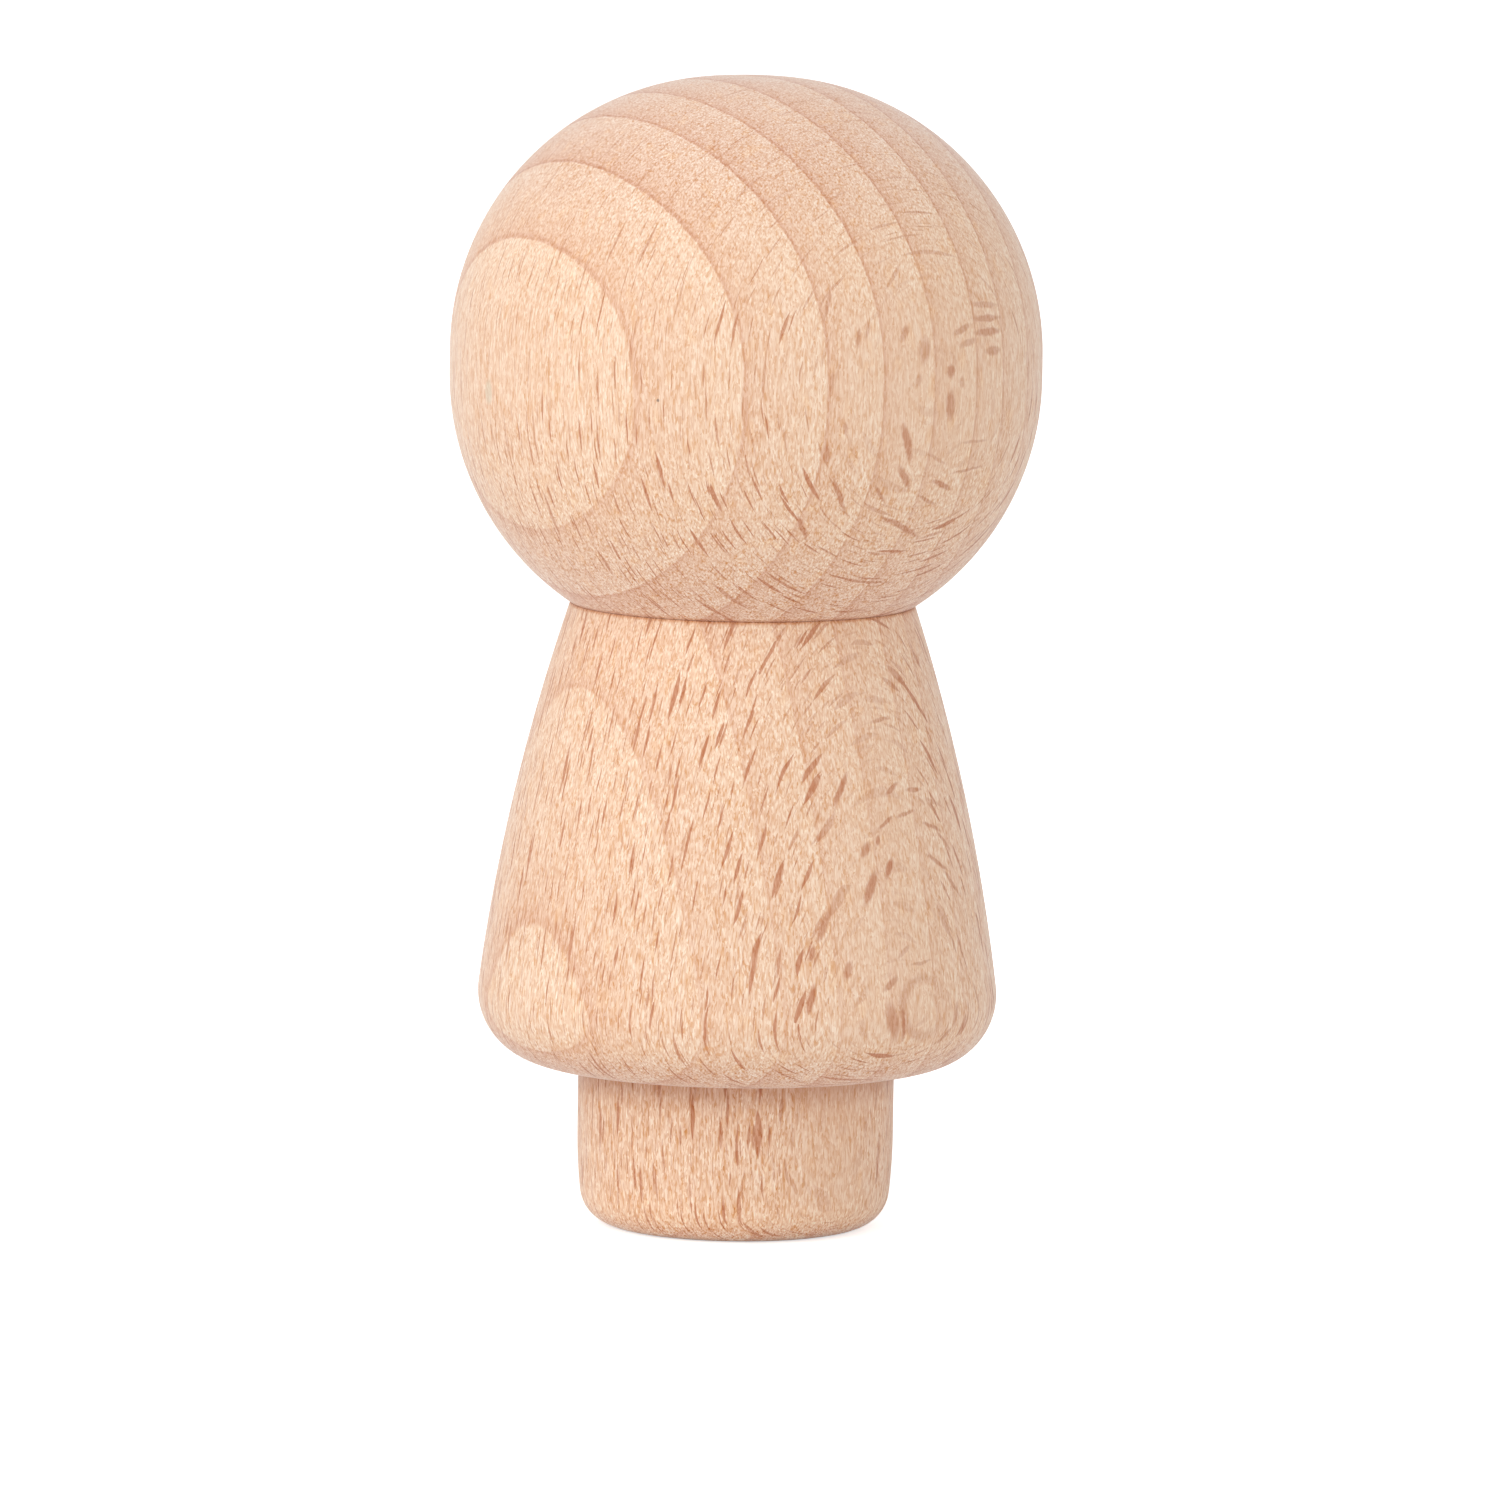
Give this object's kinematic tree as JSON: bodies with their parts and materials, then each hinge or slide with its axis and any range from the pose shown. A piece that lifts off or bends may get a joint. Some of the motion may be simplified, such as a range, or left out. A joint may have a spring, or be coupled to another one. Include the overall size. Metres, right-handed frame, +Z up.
{
  "type": "peg doll",
  "caption": "Plain unpainted turned beech peg doll with a ball head, a bell-shaped skirt body and a short round foot peg, glued with a dowel and a round tenon.",
  "frame": {"origin": "centre of the flat face under the foot, which the doll stands on", "axes": "+Z up along the axis the doll is turned on; the doll has no face, and the side seen in the picture faces -Y"},
  "size_m": [0.0406, 0.0404, 0.079],
  "materials": {
    "beech": "bare sanded beech, no varnish or paint, fine grain with ray flecks",
    "dowel_beech": "milled beech rod, unfinished, hidden inside the neck joint"
  },
  "bodies": {
    "root": {"head": "beech", "body": "beech", "foot": "beech", "neck_dowel": "dowel_beech"}
  },
  "joints": []
}
